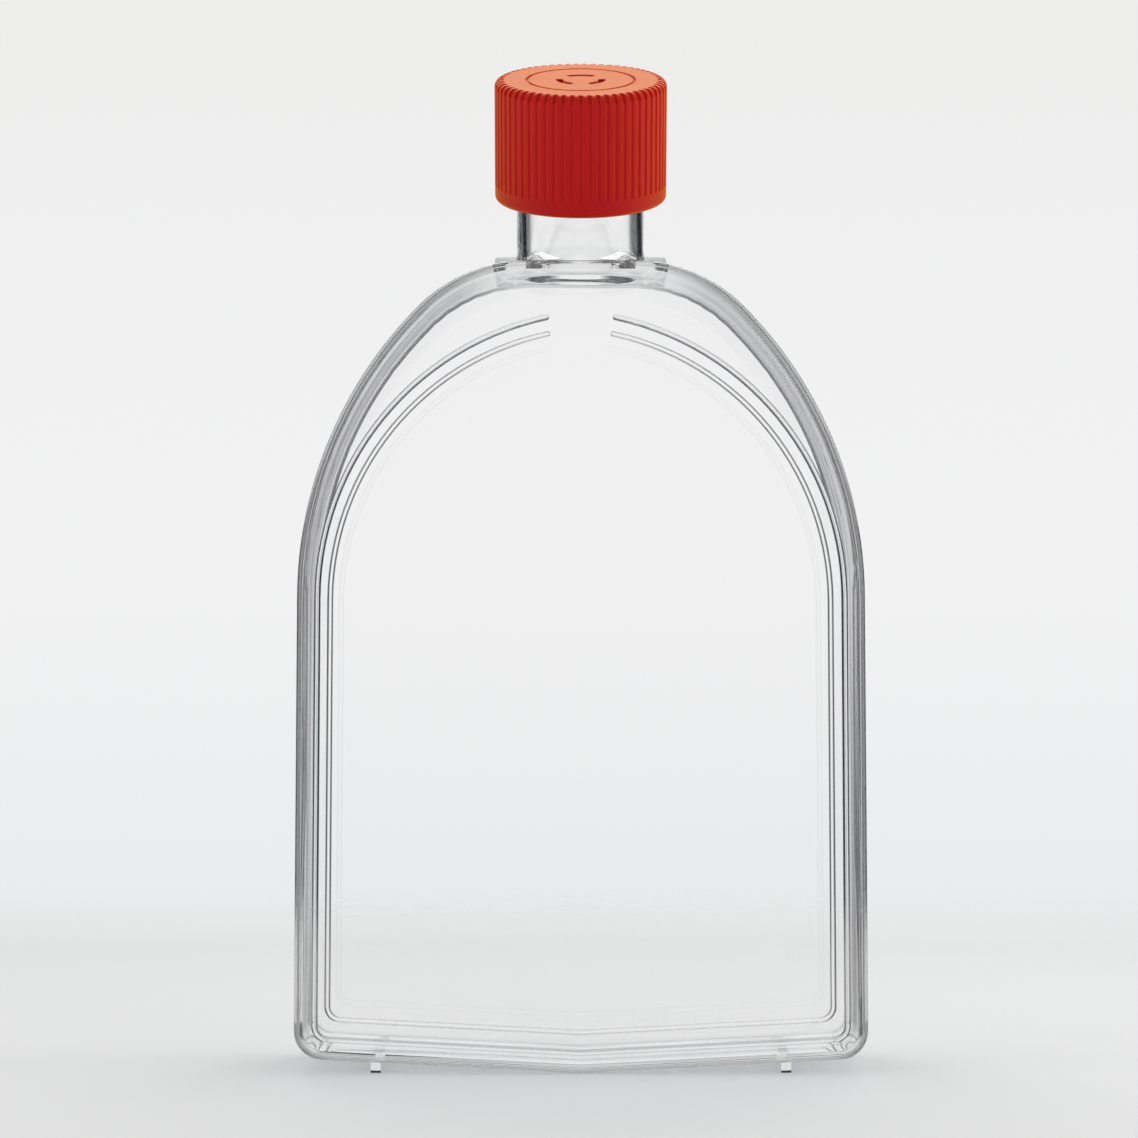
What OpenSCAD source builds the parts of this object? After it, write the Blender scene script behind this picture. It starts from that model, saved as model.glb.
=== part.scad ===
// Cell culture flask: a clear moulded tray with a canted neck, a welded top plate
// and a vented screw cap. It stands on its end: X is its width, Z its height, and
// the neck leans towards -Y, the side of the top plate. All sizes are millimetres.

/* [Body] */
// Width over the side walls, where their straight part ends
body_w = 84; // [80:1:90]
// Lean of each side wall towards the middle, from its foot up, in degrees
side_taper = 0.35; // [0.1:0.05:1]
// Depth over the faces of the two plates
body_d = 33.4; // [31:0.2:38]
// Height at which the straight sides end
side_h = 70.5; // [66:0.1:76]
// Radius of the long shoulder curve
shoulder_r = 61.3; // [58:0.1:64]
// Angle from the width to the outward direction where the shoulder curve ends
shoulder_turn = 45.3; // [42:0.1:48]
// Radius of the crown curve, between the shoulder and the end wall
crown_r = 22.4; // [20:0.1:25]
// Radius of the base corners
corner_r = 4.2; // [3.5:0.1:5.5]
// Rise of the base wall from its middle to each side, in degrees
base_slope = 3; // [2:0.5:4]

/* [Walls] */
// Thickness of the side walls
wall_t = 1.25; // [1:0.05:1.5]
// Thickness of the growth plate and of the top plate
plate_t = 1.3; // [1.1:0.05:1.6]
// Rounding of the outer edges of both plates
edge_r = 0.9; // [0.4:0.1:1]
// Rounding inside, where the walls meet the growth plate
inner_r = 0.4; // [0.2:0.1:1.2]

/* [Weld] */
// Width of the weld ridge on the tray's rim
ridge_w = 0.4; // [0.3:0.05:0.6]
// Height of the top plate above the rim, bridged by the weld ridge
ridge_h = 0.15; // [0.1:0.05:0.3]
// Gap between the ridge and the top plate, before the weld melts
weld_gap = 0.02; // [0.01:0.01:0.05]
// Thickness of the top plate's locating lip
lip_t = 0.8; // [0.6:0.1:1]
// Depth of the locating lip, measured inwards from the top plate
lip_h = 1.6; // [1:0.1:2.5]
// Clearance between the lip and the side walls
lip_clear = 0.1; // [0.05:0.05:0.2]

/* [Stacking beads] */
// Width of the raised bead on each plate
bead_w = 0.9; // [0.8:0.1:1.4]
// Height of the bead
bead_h = 0.8; // [0.6:0.1:1.2]
// Width of the flat along the bead's rounded crest
crest_flat = 0.1; // [0.05:0.05:0.4]
// Distance from the side walls to the middle of the bead
bead_inset = 3.1; // [2.4:0.1:3.6]
// Height at which the bead leaves the straight side
bead_side_h = 70.2; // [64:0.1:75]
// Radius of the bead's shoulder curve
bead_r = 42.6; // [41:0.1:45]
// Angle from the width to the outward direction where the bead ends
bead_turn = 78; // [70:0.5:80]
// Radius of the bead's base corners
bead_corner_r = 2; // [1:0.1:3]

/* [Standing fins] */
// Distance from the middle to each fin
fin_x = 30.3; // [26:0.1:34]
// Thickness of a fin
fin_w = 1.5; // [1:0.1:2]
// Gap between the ends of a fin and the faces of the plates
fin_inset = 1.2; // [1:0.1:3]

/* [Neck] */
// Outer radius of the neck
neck_r = 9.7; // [8.5:0.1:10.5]
// Wall thickness of the neck
neck_wall = 1.3; // [1:0.05:1.6]
// Lean of the neck towards the top plate, in degrees
neck_tilt = 19.4; // [12:0.1:21]
// Distance from the middle of the end wall back to the neck's axis
neck_back = 4.2; // [3:0.1:5]
// Length of the neck from the end wall to its lip
neck_len = 27.1; // [25:0.1:30]
// Height of the flared root of the neck above the end wall
root_h = 3; // [1.5:0.1:4]
// How far the root flares out from the neck
root_flare = 1; // [0.6:0.1:1.4]

/* [Neck collar] */
// Width of the raised collar round the neck's root
collar_w = 26.2; // [24:0.2:28]
// Depth of the collar, from front to back
collar_d = 21; // [19:0.5:22]
// Height of the collar at the neck's axis, above the end wall
collar_h = 1.7; // [1.2:0.1:2.2]
// Slope of the collar's top, in degrees
collar_slope = 9; // [6:0.5:12]
// Rounding of the collar's corners, seen from the neck
collar_corner_r = 3; // [1:0.5:6]

/* [Cap] */
// Height of the cap
cap_h = 18.5; // [17:0.1:20]
// Wall thickness of the cap's skirt, ribs included
cap_wall = 1.5; // [1.3:0.1:2]
// Thickness of the cap's top
cap_top_t = 1.5; // [1.2:0.1:2]
// Rounding of the cap's top edge
cap_edge_r = 1; // [0.6:0.1:1.2]
// Rounding of the skirt's lower edge
skirt_edge_r = 0.9; // [0.5:0.1:1.1]
// Depth left for the screw threads of the neck and the cap
thread_h = 1.2; // [0.8:0.1:1.4]
// Clearance between the neck's thread and the cap's bore
thread_clear = 0.6; // [0.5:0.1:1]
// Number of grip ribs
rib_count = 60; // [48:1:66]
// Radius of the hollow between two ribs
groove_r = 0.4; // [0.35:0.05:0.5]
// Depth of the hollow between two ribs
groove_depth = 0.2; // [0.15:0.05:0.3]
// Height of the plain band under the ribs
band_h = 2.4; // [1.6:0.1:4]
// How far the hollows cut in over the cap's top edge
groove_over = 1.5; // [1:0.1:1.8]
// Radius of the ring sunk in the cap's top
ring_r = 8.1; // [7.4:0.1:9]
// Width of the sunk ring
ring_w = 0.5; // [0.3:0.1:0.8]
// Depth of the sunk ring
ring_depth = 0.3; // [0.2:0.05:0.4]

/* [Seal and vent] */
// Height of the cap's sealing land, which closes on the neck's lip
land_h = 1.3; // [1:0.1:1.8]
// Width of the sealing land
land_w = 2; // [1.6:0.1:2.4]
// Thickness of the vent membrane
membrane_t = 0.3; // [0.2:0.05:0.4]
// Clearance between the membrane's edge and the sealing land
membrane_clear = 0.4; // [0.2:0.1:0.6]
// Number of vent slots in the cap's top
slot_count = 3; // [2:1:4]
// Mean radius of the vent slots
slot_r = 3.2; // [2.6:0.1:4]
// Width of a vent slot
slot_w = 1.1; // [0.8:0.1:1.4]
// Angle that each vent slot spans
slot_span = 74; // [40:2:80]

/* [Hidden] */
$fn = 96;

half_w = body_w / 2;
back_face = -body_d / 2;
front_face = body_d / 2;
growth_face = back_face + plate_t;
plate_inner = front_face - plate_t;
rim_face = plate_inner - ridge_h;

// The side line's outward direction, and its distance from the middle of the base.
side_out = [cos(side_taper), sin(side_taper)];
side_reach = half_w * side_out.x + side_h * side_out.y;

// Centres of the outline's arcs, on the +X side.
corner_c = arc_centre(0, corner_r);
shoulder_c = [half_w, side_h] - shoulder_r * side_out;
crown_c = shoulder_c
    + (shoulder_r - crown_r) * [cos(shoulder_turn), sin(shoulder_turn)];
body_top = crown_c.y + crown_r;

// Straight steps that stand for each arc.
corner_steps = 8;
shoulder_steps = 24;
crown_steps = 16;
bead_steps = 28;
round_steps = 4;
crest_steps = 5;
cut = 1;

neck_bore_r = neck_r - neck_wall;
cap_bore_r = neck_r + thread_h + thread_clear;
cap_r = cap_bore_r + cap_wall;
cap_under = neck_len + land_h;
cap_top = cap_under + cap_top_t;
cap_foot = cap_top - cap_h;
land_mid = neck_r - neck_wall / 2;
membrane_r = land_mid - land_w / 2 - membrane_clear;

clear_tint = [0.86, 0.89, 0.91, 0.45];
cap_orange = [0.83, 0.22, 0.13];
filter_white = [0.96, 0.96, 0.94];

// Centre of a base corner of radius r, for a line that runs inset from the outline.
function arc_centre(inset, r) =
    let (off_side = side_reach - inset - r)
    let (off_base = inset + r)
    [off_side * cos(base_slope) - off_base * side_out.y,
     off_base * side_out.x + off_side * sin(base_slope)] / cos(base_slope - side_taper);

function arc_points(c, r, from, to, steps) = [for (i = [0:steps])
    let (a = from + (to - from) * i / steps)
    c + r * [cos(a), sin(a)]];

// The same points in the opposite order, on the -X side.
function mirrored(points) = [for (i = [len(points) - 1:-1:0])
    [-points[i].x, points[i].y]];

// The body's outline, inset from its true one, from the middle of the base wall.
function outline(inset) =
    let (corner = arc_points(corner_c, corner_r - inset,
                             base_slope - 90, side_taper, corner_steps))
    let (shoulder = arc_points(shoulder_c, shoulder_r - inset,
                               side_taper, shoulder_turn, shoulder_steps))
    let (crown = arc_points(crown_c, crown_r - inset,
                            shoulder_turn, 90, crown_steps))
    let (side = concat(corner, shoulder, [for (i = [1:crown_steps]) crown[i]]))
    concat([[0, inset / cos(base_slope)]], side, mirrored(side));

// Puts the flat-laid body on its end, with the top plate towards -Y.
module upright() {
    rotate([90, 0, 0])
        children();
}

// Places a piece on the neck's axis, measured from the end wall.
module on_neck() {
    translate([0, neck_back, body_top])
        rotate([neck_tilt, 0, 0])
            children();
}

// A solid lofted through outlines that are given as [inset, height] levels.
module lofted(levels) {
    rings = [for (level = levels) outline(level[0])];
    n = len(rings[0]);
    top = (len(levels) - 1) * n;
    polyhedron(
        points = [for (k = [0:len(levels) - 1], p = rings[k])
            [p.x, p.y, levels[k][1]]],
        faces = concat(
            [[for (i = [0:n - 1]) i]],
            [for (k = [0:n:top - n], i = [0:n - 1])
                let (j = (i + 1) % n)
                [k + i, k + n + i, k + n + j, k + j]],
            [[for (i = [n - 1:-1:0]) top + i]]
        )
    );
}

// A solid slab inside the outline, from z0 to z1, with its edge at z0 rounded.
module slab(inset, z0, z1, r) {
    rounded = [for (i = [0:round_steps])
        let (a = 90 * i / round_steps)
        [inset + r * (1 - sin(a)), z0 + r * (1 - cos(a))]];
    lofted(concat(rounded, [[inset, z1]]));
}

// A thin upright wall that follows the outline, between two insets.
module outline_wall(inset, t, z0, z1) {
    translate([0, 0, z0])
        linear_extrude(z1 - z0)
            difference() {
                polygon(outline(inset));
                polygon(outline(inset + t));
            }
}

// Half of the bead's path, from its rounded end near the crown down to the base.
// Each entry is a point, the direction across the bead and its share of the width.
bead_x = (side_reach - bead_inset - bead_side_h * side_out.y) / side_out.x;
bead_c = [bead_x, bead_side_h] - bead_r * side_out;
bead_corner_c = arc_centre(bead_inset, bead_corner_r);
bead_end = [for (i = [round_steps:-1:1])
    let (a = 80 * i / round_steps)
    let (out = [cos(bead_turn), sin(bead_turn)])
    let (along = [-out.y, out.x])
    [bead_c + bead_r * out + bead_w / 2 * sin(a) * along, out, cos(a)]];
bead_shoulder = [for (i = [bead_steps:-1:0])
    let (a = side_taper + (bead_turn - side_taper) * i / bead_steps)
    let (out = [cos(a), sin(a)])
    [bead_c + bead_r * out, out, 1]];
bead_corner = [for (i = [0:corner_steps])
    let (a = side_taper + (base_slope - 90 - side_taper) * i / corner_steps)
    let (out = [cos(a), sin(a)])
    [bead_corner_c + bead_corner_r * out, out, 1]];
bead_half = concat(bead_end, bead_shoulder, bead_corner);
bead_middle = [[0, bead_inset / cos(base_slope)], [0, -1], 1];
bead_path = concat(
    bead_half,
    [bead_middle],
    [for (i = [len(bead_half) - 1:-1:0])
        let (step = bead_half[i])
        [[-step[0].x, step[0].y], [-step[1].x, step[1].y], step[2]]]
);

// Half of the bead's section: across the bead and above the plate.
crest_r = (bead_w - crest_flat) / 2;
bead_side = concat(
    [[bead_w / 2, -plate_t / 2]],
    arc_points([crest_flat / 2, bead_h - crest_r], crest_r, 0, 90, crest_steps)
);

// The raised bead, on a plate whose face is at Z = 0.
module bead() {
    section = concat(bead_side, mirrored(bead_side));
    n = len(section);
    last = (len(bead_path) - 1) * n;
    polyhedron(
        points = [for (step = bead_path, p = section)
            let (at = step[0] + p.x * step[2] * step[1])
            [at.x, at.y, p.y]],
        faces = concat(
            [[for (i = [0:n - 1]) i]],
            [for (k = [0:n:last - n], i = [0:n - 1])
                let (j = (i + 1) % n)
                [k + i, k + n + i, k + n + j, k + j]],
            [[for (i = [n - 1:-1:0]) last + i]]
        )
    );
}

// The two fins that the flask stands on, with the middle of its base.
module standing_fins() {
    fin_d = body_d - 2 * fin_inset;
    fin_h = fin_x * tan(base_slope) + wall_t / 2;
    for (side = [-1, 1])
        translate([side * fin_x - fin_w / 2, -fin_d / 2, 0])
            cube([fin_w, fin_d, fin_h]);
}

module rounded_plate(w, d, r, h) {
    linear_extrude(h) {
        square([w - 2 * r, d], center = true);
        square([w, d - 2 * r], center = true);
        for (x = [-1, 1], y = [-1, 1])
            translate([x * (w / 2 - r), y * (d / 2 - r)])
                circle(r);
    }
}

// The sloping collar that stiffens the end wall round the neck.
module neck_collar() {
    sink = wall_t + collar_d / 2 * tan(collar_slope);
    translate([0, neck_back, body_top])
        rotate([collar_slope, 0, 0])
            translate([0, 0, -sink])
                rounded_plate(collar_w, collar_d, collar_corner_r, sink + collar_h);
}

// The neck before it is bored, with its flared root.
module neck_blank() {
    sink = wall_t + (neck_r + root_flare) * tan(neck_tilt);
    lip_r = neck_wall / 4;
    on_neck() {
        translate([0, 0, -sink])
            cylinder(r = neck_r + root_flare, h = sink);
        cylinder(r1 = neck_r + root_flare, r2 = neck_r, h = root_h);
        cylinder(r = neck_r, h = neck_len - lip_r);
        translate([0, 0, neck_len - lip_r])
            cylinder(r1 = neck_r, r2 = neck_r - lip_r, h = lip_r);
    }
}

// One moulding: growth plate, walls, collar, neck, fins and the growth side's bead.
module growth_tray() {
    color(clear_tint)
        difference() {
            union() {
                upright() {
                    slab(0, back_face, rim_face, edge_r);
                    translate([0, 0, back_face])
                        mirror([0, 0, 1])
                            bead();
                }
                standing_fins();
                neck_collar();
                neck_blank();
            }
            upright()
                slab(wall_t, growth_face, front_face + cut, inner_r);
            on_neck()
                translate([0, 0, -neck_r])
                    cylinder(r = neck_bore_r, h = neck_len + neck_r + cut);
        }
    color(clear_tint)
        upright()
            outline_wall((wall_t - ridge_w) / 2, ridge_w, rim_face - wall_t / 2, plate_inner - weld_gap);
}

// The second moulding, laid on the tray's rim, with its locating lip and bead.
module top_plate() {
    color(clear_tint)
        upright() {
            mirror([0, 0, 1])
                slab(0, -front_face, -plate_inner, edge_r);
            outline_wall(wall_t + lip_clear, lip_t, plate_inner - lip_h, plate_inner + plate_t / 2);
            translate([0, 0, front_face])
                bead();
        }
}

// Section of the cap without its ribs, from the axis outwards.
module cap_section() {
    difference() {
        union() {
            translate([0, cap_foot])
                square([cap_r - skirt_edge_r, cap_h - cap_edge_r]);
            translate([0, cap_foot + skirt_edge_r])
                square([cap_r, cap_h - cap_edge_r - skirt_edge_r]);
            translate([0, cap_top - cap_edge_r])
                square([cap_r - cap_edge_r, cap_edge_r]);
            translate([cap_r - cap_edge_r, cap_top - cap_edge_r])
                intersection() {
                    circle(cap_edge_r);
                    square(cap_edge_r);
                }
            translate([cap_r - skirt_edge_r, cap_foot + skirt_edge_r])
                intersection() {
                    circle(skirt_edge_r);
                    translate([0, -skirt_edge_r])
                        square(skirt_edge_r);
                }
        }
        translate([0, cap_foot - cut])
            square([cap_bore_r, cap_under - cap_foot + cut]);
        translate([ring_r - ring_w / 2, cap_top - ring_depth])
            square([ring_w, ring_depth + cut]);
    }
    translate([land_mid - land_w / 2, neck_len])
        square([land_w, land_h + cap_top_t / 2]);
}

// The hollow between two ribs: it starts above the plain band and turns in over
// the rounded top edge.
module rib_groove() {
    turn_z = cap_top - groove_over + groove_depth + groove_r * (sqrt(2) - 1);
    foot_z = cap_foot + band_h + groove_r;
    translate([cap_r - groove_depth + groove_r, 0, foot_z]) {
        sphere(groove_r);
        cylinder(r = groove_r, h = turn_z - foot_z);
        translate([0, 0, turn_z - foot_z])
            rotate([0, -45, 0])
                cylinder(r = groove_r, h = 2 * groove_over);
    }
}

// One moulding: ribbed skirt, top with its vent slots, and the sealing land.
module cap_shell() {
    color(cap_orange)
        on_neck()
            difference() {
                rotate_extrude()
                    cap_section();
                for (i = [0:rib_count - 1])
                    rotate([0, 0, i * 360 / rib_count])
                        rib_groove();
                for (i = [0:slot_count - 1])
                    rotate([0, 0, 90 - slot_span / 2 + i * 360 / slot_count])
                        rotate_extrude(angle = slot_span)
                            translate([slot_r - slot_w / 2, cap_under - cut])
                                square([slot_w, cap_top_t + 2 * cut]);
            }
}

// The filter disc, sealed to the underside of the cap's top.
module vent_membrane() {
    color(filter_white)
        on_neck()
            translate([0, 0, cap_under - membrane_t])
                cylinder(r = membrane_r, h = membrane_t);
}

growth_tray();
top_plate();
cap_shell();
vent_membrane();
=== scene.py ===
"""Clear moulded cell culture flask with curved shoulders and a vented screw cap, standing on a pale studio floor."""

import math

import bmesh
import bpy
from mathutils import Matrix, Vector


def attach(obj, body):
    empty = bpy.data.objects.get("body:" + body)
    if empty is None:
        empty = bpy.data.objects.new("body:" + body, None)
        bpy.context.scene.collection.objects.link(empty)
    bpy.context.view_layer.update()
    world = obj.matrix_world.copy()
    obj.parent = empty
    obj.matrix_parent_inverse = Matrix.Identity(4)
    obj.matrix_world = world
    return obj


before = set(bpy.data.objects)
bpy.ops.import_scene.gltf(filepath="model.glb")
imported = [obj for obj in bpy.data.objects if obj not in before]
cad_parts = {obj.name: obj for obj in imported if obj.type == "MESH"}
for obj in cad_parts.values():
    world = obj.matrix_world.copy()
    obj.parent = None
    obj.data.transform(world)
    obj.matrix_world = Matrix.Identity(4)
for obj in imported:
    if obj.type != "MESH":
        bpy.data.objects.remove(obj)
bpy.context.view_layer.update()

MM = 0.001

# The neck's axis in the part's frame: its foot on the body's end wall, and its lean towards the top plate.
NECK_FOOT = Vector((0.0, 4.2, 120.1756)) * MM
NECK_TILT = math.radians(19.4)
NECK_FRAME = Matrix.Translation(NECK_FOOT) @ Matrix.Rotation(NECK_TILT, 4, "X")
NECK_R = 9.7 * MM
THREAD_LEAD = 4.0 * MM
THREAD_DEPTH = 1.05 * MM
THREAD_ROOT = 0.15 * MM
CAP_BORE_R = 11.5 * MM

# The top of the flask's shoulders, and the distance from its middle plane at which the beads clear both plates.
SHOULDER_TOP = 120 * MM
BEAD_FOOT = 16.95 * MM


# ---------------------------------------------------------------- camera


def make_camera():
    """A long lens just under the flask's middle, square to its top plate and looking up by a degree."""
    data = bpy.data.cameras.new("camera")
    data.sensor_width = 36.0
    data.lens = 131.95
    data.clip_start = 0.01
    data.clip_end = 50.0
    camera = bpy.data.objects.new("camera", data)
    bpy.context.scene.collection.objects.link(camera)
    camera.location = Vector((-1.77, -632.7, 62.5)) * MM
    target = Vector((-1.77, -16.7, 74.4)) * MM
    camera.rotation_euler = (target - camera.location).to_track_quat("-Z", "Y").to_euler()
    bpy.context.scene.camera = camera


make_camera()


# ---------------------------------------------------------------- shading helpers


def srgb(code):
    """A colour written as sRGB hex, as the linear values that shaders take."""
    parts = [int(code[i : i + 2], 16) / 255 for i in (1, 3, 5)]
    return tuple(p / 12.92 if p <= 0.04045 else ((p + 0.055) / 1.055) ** 2.4 for p in parts) + (1.0,)


def add(tree, kind, inputs=None, **settings):
    """A shader node with its options and its inputs, each a constant or another node's output."""
    made = tree.nodes.new("ShaderNode" + kind)
    for name, value in settings.items():
        setattr(made, name, value)
    for key, value in (inputs or {}).items():
        if isinstance(value, bpy.types.NodeSocket):
            tree.links.new(value, made.inputs[key])
        else:
            made.inputs[key].default_value = value
    return made


def share_of(tree, value, low, high, **settings):
    """How far a value is on the way from low to high, from 0 to 1."""
    return add(tree, "MapRange", {"Value": value, "From Min": low, "From Max": high}, **settings).outputs[0]


def reckon(tree, operation, *values):
    """The result of one Math node."""
    return add(tree, "Math", dict(enumerate(values)), operation=operation).outputs[0]


def noise_bump(tree, place, grain, depth, strength, detail):
    """A shading normal from noise of a real grain and depth."""
    noise = add(tree, "TexNoise", {"Vector": place, "Scale": 1 / grain, "Detail": detail})
    bump = add(tree, "Bump", {"Height": noise.outputs["Fac"], "Distance": depth, "Strength": strength})
    return bump.outputs["Normal"]


def ramp(tree, value, stops):
    """A colour ramp over a value from 0 to 1, from (position, hex colour) stops."""
    made = add(tree, "ValToRGB", {0: value})
    first, last = made.color_ramp.elements
    first.position, first.color = stops[0][0], srgb(stops[0][1])
    last.position, last.color = stops[-1][0], srgb(stops[-1][1])
    for position, code in stops[1:-1]:
        made.color_ramp.elements.new(position).color = srgb(code)
    return made.outputs[0]


def new_material(name):
    """An empty node material and its tree."""
    material = bpy.data.materials.new(name)
    material.use_nodes = True
    material.node_tree.nodes.clear()
    return material, material.node_tree


def painted_edge_shade(tree, place, sideways):
    """How much painted shade the body's side walls take: seen edge on, they are greyed in streaks, standing in for
    the dark surroundings that the clear walls bend into view.
    """
    height = add(tree, "SeparateXYZ", {0: place}).outputs["Z"]
    wall = share_of(tree, sideways, 0.1, 0.5)
    below_collar = share_of(tree, height, SHOULDER_TOP + 1 * MM, SHOULDER_TOP)
    above_base = share_of(tree, height, 2 * MM, 6 * MM)
    side = reckon(tree, "MULTIPLY", reckon(tree, "MULTIPLY", wall, below_collar), above_base)
    # Painted shade: the side walls grey where seen edge on, more or less along streaks.
    edge_on = share_of(tree, add(tree, "LayerWeight").outputs["Facing"], 0.82, 0.96)
    along = add(tree, "Mapping", {"Vector": place, "Scale": (0.1, 1.0, 0.1)}).outputs[0]
    streak_noise = add(tree, "TexNoise", {"Vector": along, "Scale": 1 / (5 * MM), "Detail": 1.0}).outputs["Fac"]
    span = {"Value": streak_noise, "From Min": 0.3, "From Max": 0.7, "To Min": 0.35, "To Max": 0.85}
    streaks = add(tree, "MapRange", span).outputs[0]
    return reckon(tree, "MULTIPLY", reckon(tree, "MULTIPLY", side, edge_on), streaks)


def painted_bead_shade(tree, place, sideways):
    """How much painted shade the stacking beads take: their flanks, proud of both plates, are greyed along the
    sides.
    """
    outward = reckon(tree, "ABSOLUTE", add(tree, "SeparateXYZ", {0: place}).outputs["Y"])
    proud = share_of(tree, outward, BEAD_FOOT, BEAD_FOOT + 0.15 * MM)
    span = {"Value": sideways, "From Min": 0.2, "From Max": 0.7, "To Max": 0.75}
    flank = add(tree, "MapRange", span).outputs[0]
    return reckon(tree, "MULTIPLY", proud, flank)


def clear_polystyrene():
    """Injection-moulded crystal polystyrene: index 1.59, polished faces with a moulding's faint waviness."""
    material, tree = new_material("crystal_polystyrene_injection_moulded")
    place = add(tree, "TexCoord").outputs["Object"]
    facing = add(tree, "SeparateXYZ", {0: add(tree, "TexCoord").outputs["Normal"]})
    sideways = reckon(tree, "ABSOLUTE", facing.outputs["X"])
    painted_shade = reckon(tree, "MAXIMUM", painted_edge_shade(tree, place, sideways), painted_bead_shade(tree, place, sideways))
    plastic = add(
        tree,
        "BsdfPrincipled",
        {
            "Base Color": srgb("#FFFFFF"),
            "Roughness": 0.0,
            "IOR": 1.59,
            "Transmission Weight": 1.0,
            "Normal": noise_bump(tree, place, grain=18 * MM, depth=0.02 * MM, strength=0.25, detail=1.0),
        },
    )
    # Painted shade: a dark grey mirror mixed into the clear plastic where the side walls are seen edge on and on the
    # beads' flanks.
    shade_gloss = add(tree, "BsdfGlossy", {"Color": srgb("#4E4E54"), "Roughness": 0.2})
    walls = add(tree, "MixShader", {0: painted_shade, 1: plastic.outputs[0], 2: shade_gloss.outputs[0]})
    # Light falls through the clear walls on to the floor, a little dimmed.
    passed = add(tree, "BsdfTransparent", {"Color": srgb("#EAEBEC")})
    shadow = add(tree, "LightPath").outputs["Is Shadow Ray"]
    shade = add(tree, "MixShader", {0: shadow, 1: walls.outputs[0], 2: passed.outputs[0]})
    depth = add(tree, "VolumeAbsorption", {"Color": srgb("#505050"), "Density": 6.0})
    add(tree, "OutputMaterial", {"Surface": shade.outputs[0], "Volume": depth.outputs[0]})
    return material


def cap_polyethylene():
    """Moulded high-density polyethylene coloured orange-red: waxy, satin, finely spark-textured."""
    material, tree = new_material("polyethylene_moulded_orange_red")
    place = add(tree, "TexCoord").outputs["Object"]
    plastic = add(
        tree,
        "BsdfPrincipled",
        {
            "Base Color": srgb("#D00A1E"),
            "Roughness": 0.45,
            "IOR": 1.51,
            "Specular IOR Level": 0.1,
            "Subsurface Weight": 0.4,
            "Subsurface Radius": (1.0, 0.3, 0.15),
            "Subsurface Scale": 1.0 * MM,
            "Sheen Weight": 1.0,
            "Sheen Roughness": 0.5,
            "Sheen Tint": srgb("#FFA438"),
            "Normal": noise_bump(tree, place, grain=0.35 * MM, depth=0.02 * MM, strength=0.4, detail=3.0),
        },
    )
    add(tree, "OutputMaterial", {"Surface": plastic.outputs[0]})
    return material


def membrane_fibre():
    """Expanded fluoropolymer filter membrane on a fibre backing: matt white with fine pores."""
    material, tree = new_material("filter_membrane_white_porous")
    place = add(tree, "TexCoord").outputs["Object"]
    pores = noise_bump(tree, place, grain=0.25 * MM, depth=0.03 * MM, strength=0.5, detail=4.0)
    paper = add(tree, "BsdfPrincipled", {"Base Color": srgb("#ECECE8"), "Roughness": 0.85, "Normal": pores})
    add(tree, "OutputMaterial", {"Surface": paper.outputs[0]})
    return material


CLEAR = clear_polystyrene()
ORANGE = cap_polyethylene()
WHITE = membrane_fibre()


# ---------------------------------------------------------------- the four moulded pieces


SHARP = math.radians(24)


def smooth_by_angle():
    """A modifier tree that shades curves smooth and keeps every edge sharper than SHARP."""
    tree = bpy.data.node_groups.new("smooth_by_angle", "GeometryNodeTree")
    tree.interface.new_socket("Geometry", in_out="INPUT", socket_type="NodeSocketGeometry")
    tree.interface.new_socket("Geometry", in_out="OUTPUT", socket_type="NodeSocketGeometry")
    start = tree.nodes.new("NodeGroupInput")
    faces = tree.nodes.new("GeometryNodeSetShadeSmooth")
    edges = tree.nodes.new("GeometryNodeSetShadeSmooth")
    edges.domain = "EDGE"
    edges.inputs["Shade Smooth"].default_value = False
    angle = tree.nodes.new("GeometryNodeInputMeshEdgeAngle")
    sharp = tree.nodes.new("FunctionNodeCompare")
    sharp.operation = "GREATER_THAN"
    sharp.inputs[1].default_value = SHARP
    end = tree.nodes.new("NodeGroupOutput")
    tree.links.new(start.outputs[0], faces.inputs["Geometry"])
    tree.links.new(faces.outputs["Geometry"], edges.inputs["Geometry"])
    tree.links.new(angle.outputs["Unsigned Angle"], sharp.inputs[0])
    tree.links.new(sharp.outputs[0], edges.inputs["Selection"])
    tree.links.new(edges.outputs["Geometry"], end.inputs[0])
    return tree


SMOOTH = smooth_by_angle()


def dress(name, material):
    """The CAD piece in its real material, its facets joined and its curves shaded smooth."""
    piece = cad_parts[name]
    piece.data.materials.clear()
    piece.data.materials.append(material)
    weld = piece.modifiers.new("weld", "WELD")
    weld.merge_threshold = 0.001 * MM
    piece.modifiers.new("smooth", "NODES").node_group = SMOOTH
    level = piece.modifiers.new("level", "WEIGHTED_NORMAL")
    level.keep_sharp = True


dress("growth_tray", CLEAR)
dress("top_plate", CLEAR)
dress("cap_shell", ORANGE)
dress("vent_membrane", WHITE)


# ---------------------------------------------------------------- screw threads


THREAD_STEPS = 60  # rings in a full turn
RUN_OUT = 12  # rings over which each end of a thread rises from the wall


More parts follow.
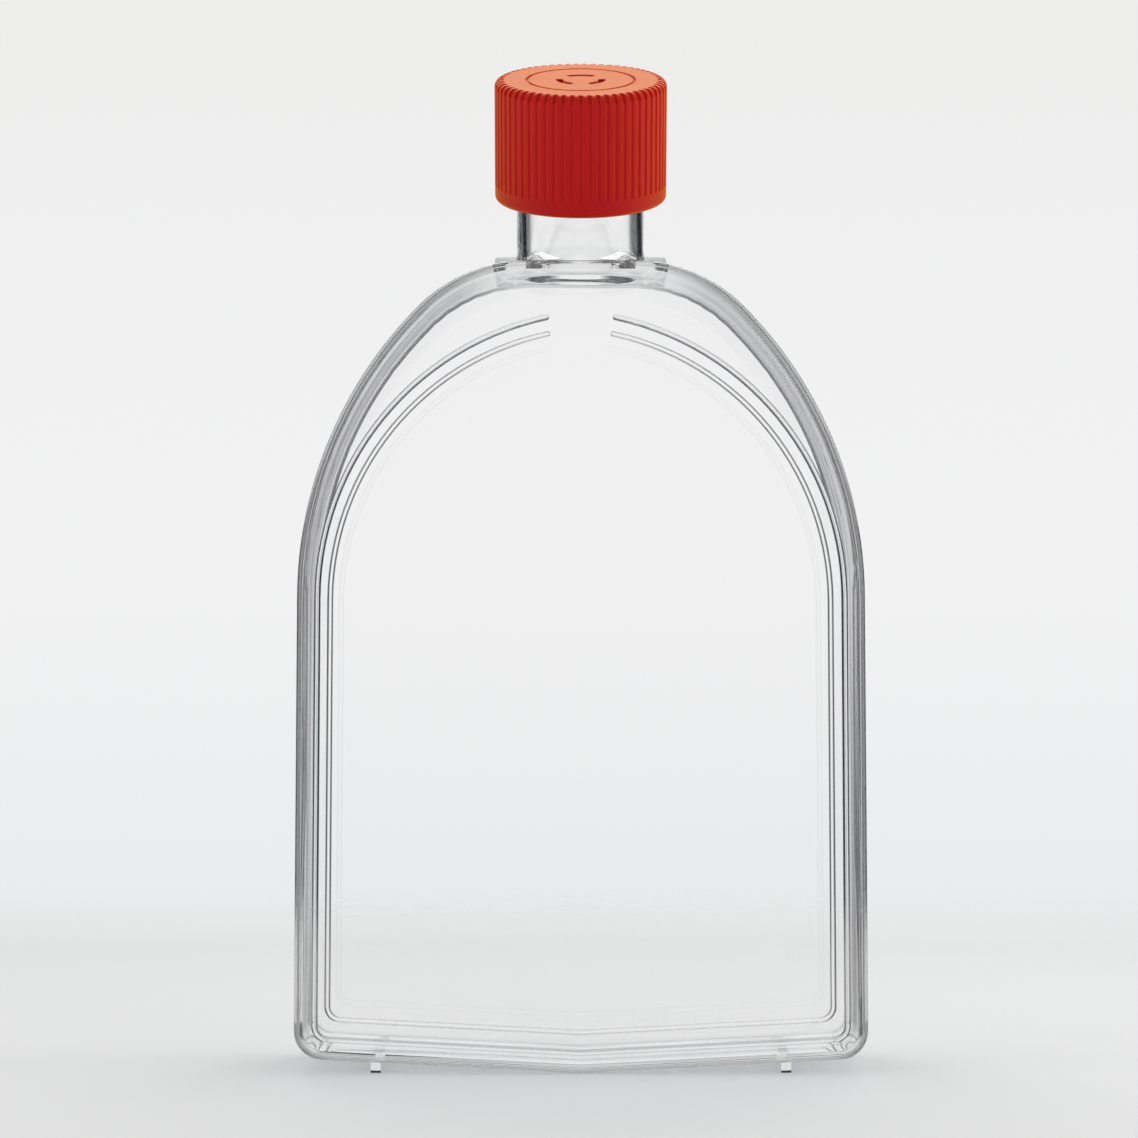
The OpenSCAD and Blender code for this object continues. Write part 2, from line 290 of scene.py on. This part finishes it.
def screw_thread(name, body, material, root_r, height, foot, turns, phase):
    """A right-handed moulded thread round the neck's axis, with run-outs; a negative height points inwards."""
    steps = round(turns * THREAD_STEPS)
    sunk = -THREAD_ROOT if height > 0 else THREAD_ROOT
    build = bmesh.new()
    rings = []
    for i in range(steps + 1):
        turn = turns * math.tau * i / steps
        rise = foot + THREAD_LEAD * turn / math.tau
        full = min(1.0, i / RUN_OUT, (steps - i) / RUN_OUT)
        crest = height * math.sin(full * math.pi / 2)
        toe = 0.1 * crest
        # How far each corner of the section reaches from the root, and how far it is along the axis in mm.
        section = ((sunk, -0.8), (sunk, 0.8), (toe, 0.75), (crest, 0.32), (crest, -0.32), (toe, -0.75))
        ring = []
        for reach, along in section:
            r = root_r + reach
            ring.append(build.verts.new((r * math.cos(turn + phase), r * math.sin(turn + phase), rise + along * MM)))
        rings.append(ring)
    for low, high in zip(rings, rings[1:]):
        for j in range(len(low)):
            build.faces.new((low[j], low[j - 1], high[j - 1], high[j]))
    build.faces.new(rings[0])
    build.faces.new(rings[-1])
    bmesh.ops.recalc_face_normals(build, faces=build.faces)
    mesh = bpy.data.meshes.new(name)
    build.to_mesh(mesh)
    build.free()
    mesh.transform(NECK_FRAME)
    mesh.materials.append(material)
    thread = bpy.data.objects.new(name, mesh)
    bpy.context.scene.collection.objects.link(thread)
    thread.modifiers.new("smooth", "NODES").node_group = SMOOTH
    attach(thread, body)


# The cap's thread hangs under the neck's, flank against flank, so the cap is drawn down on to the neck's lip.
THREAD_START = math.radians(200)
screw_thread("neck_thread", "flask", CLEAR, NECK_R, THREAD_DEPTH, 15.6 * MM, 1.9, THREAD_START)
screw_thread("cap_thread", "cap", ORANGE, CAP_BORE_R, -THREAD_DEPTH, 14.3 * MM, 1.75, THREAD_START)


# ---------------------------------------------------------------- studio


FLOOR_R = 0.45
FLOOR_DROP = 0.1 * MM  # keeps the floor off the flask's feet


def studio_floor():
    """A round pale floor that fades into the backdrop's colour before its edge."""
    mesh = bpy.data.meshes.new("studio_floor")
    build = bmesh.new()
    bmesh.ops.create_circle(build, cap_ends=True, radius=FLOOR_R, segments=96)
    build.to_mesh(mesh)
    build.free()
    floor = bpy.data.objects.new("studio_floor", mesh)
    bpy.context.scene.collection.objects.link(floor)
    floor.location.z = -FLOOR_DROP
    material, tree = new_material("matt_white_acrylic_sheet")
    place = add(tree, "TexCoord").outputs["Object"]
    reach = add(tree, "VectorMath", {0: place}, operation="LENGTH").outputs["Value"]
    fade = share_of(tree, reach, 0.25, 0.44)
    away = share_of(tree, add(tree, "SeparateXYZ", {0: place}).outputs["Y"], -0.10, 0.25)
    sheet = add(tree, "BsdfDiffuse", {"Color": ramp(tree, away, ((0.0, "#F7F7F7"), (1.0, "#DCDDDD")))})
    gone = add(tree, "BsdfTransparent")
    shade = add(tree, "MixShader", {0: fade, 1: sheet.outputs[0], 2: gone.outputs[0]})
    add(tree, "OutputMaterial", {"Surface": shade.outputs[0]})
    mesh.materials.append(material)


def softbox(name, place, aim, size, power, mirrored=True):
    """A rectangular soft light that faces aim and isn't in view; where not mirrored, no surface reflects it."""
    data = bpy.data.lights.new(name, "AREA")
    data.shape = "RECTANGLE"
    data.size, data.size_y = size
    data.energy = power
    light = bpy.data.objects.new(name, data)
    bpy.context.scene.collection.objects.link(light)
    light.location = place
    light.rotation_euler = (Vector(aim) - Vector(place)).to_track_quat("-Z", "Y").to_euler()
    light.visible_camera = False
    light.visible_transmission = False
    light.visible_glossy = mirrored


def studio_world():
    """Seen directly, the backdrop is a pale even sheet. Seen through the plastic it is lit panels with dark gaps."""
    world = bpy.data.worlds.new("studio")
    bpy.context.scene.world = world
    world.use_nodes = True
    tree = world.node_tree
    tree.nodes.clear()
    way = add(tree, "SeparateXYZ", {0: add(tree, "TexCoord").outputs["Generated"]}).outputs
    # The sheet is palest just above the floor's far edge.
    sheet = ramp(
        tree,
        share_of(tree, way["Z"], -0.15, 0.15),
        ((0.0, "#E8E9E9"), (0.30, "#EAEBEC"), (0.55, "#F2F2F3"), (0.75, "#F1F1F2"), (1.0, "#EDEDEC")),
    )
    # A lit panel stands square to each side of the flask, with a dark gap between it and the next. The share runs
    # from the middle of a panel to the middle of a gap.
    eighth = math.radians(45)
    turn = reckon(tree, "ARCTAN2", way["X"], way["Y"])
    share = reckon(tree, "DIVIDE", reckon(tree, "PINGPONG", turn, eighth), eighth)
    panels = ramp(
        tree,
        share,
        ((0.28, "#FFFFFF"), (0.38, "#B0B2B5"), (0.48, "#505358"), (0.62, "#24262A"), (1.0, "#24262A")),
    )
    # Over the panels is a dimmer ceiling, and under them the white floor.
    ceiling = ramp(tree, share, ((0.05, "#DCDDE0"), (0.30, "#5A5B64"), (1.0, "#5A5B64")))
    above = share_of(tree, way["Z"], 0.14, 0.26, interpolation_type="SMOOTHSTEP")
    below = share_of(tree, way["Z"], -0.09, -0.14, interpolation_type="SMOOTHSTEP")
    high = add(tree, "Mix", {0: above, 6: panels, 7: ceiling}, data_type="RGBA").outputs[2]
    level = add(tree, "Mix", {0: below, 6: high, 7: srgb("#FFFFFF")}, data_type="RGBA").outputs[2]
    around = add(tree, "Mix", {0: 1.0, 6: sheet, 7: level}, data_type="RGBA", blend_type="MULTIPLY").outputs[2]
    path = add(tree, "LightPath").outputs
    ambient = add(tree, "Background", {"Color": srgb("#FFFFFF"), "Strength": 0.55})
    direct = add(tree, "Background", {"Color": sheet})
    through = add(tree, "Background", {"Color": around})
    bent = reckon(tree, "MAXIMUM", path["Is Glossy Ray"], path["Is Transmission Ray"])
    lit = add(tree, "MixShader", {0: bent, 1: ambient.outputs[0], 2: through.outputs[0]})
    seen = add(tree, "MixShader", {0: path["Is Camera Ray"], 1: lit.outputs[0], 2: direct.outputs[0]})
    add(tree, "OutputWorld", {"Surface": seen.outputs[0]})


studio_floor()
studio_world()
softbox("above_behind", (0.0, 0.45, 0.55), (0, 0, 0.12), (0.6, 0.4), 2.2)
# The side lights model the cap only, and aren't mirrored in the flat walls.
softbox("right", (0.60, 0.10, 0.25), (0, 0, 0.10), (0.35, 0.5), 1.1, mirrored=False)
softbox("left", (-0.60, -0.05, 0.25), (0, 0, 0.10), (0.35, 0.5), 0.2, mirrored=False)

scene = bpy.context.scene
scene.view_settings.view_transform = "Standard"
# Light is led through many turns inside the clear walls before it comes out at their edges.
scene.cycles.max_bounces = 24
scene.cycles.glossy_bounces = 16
scene.cycles.transmission_bounces = 24
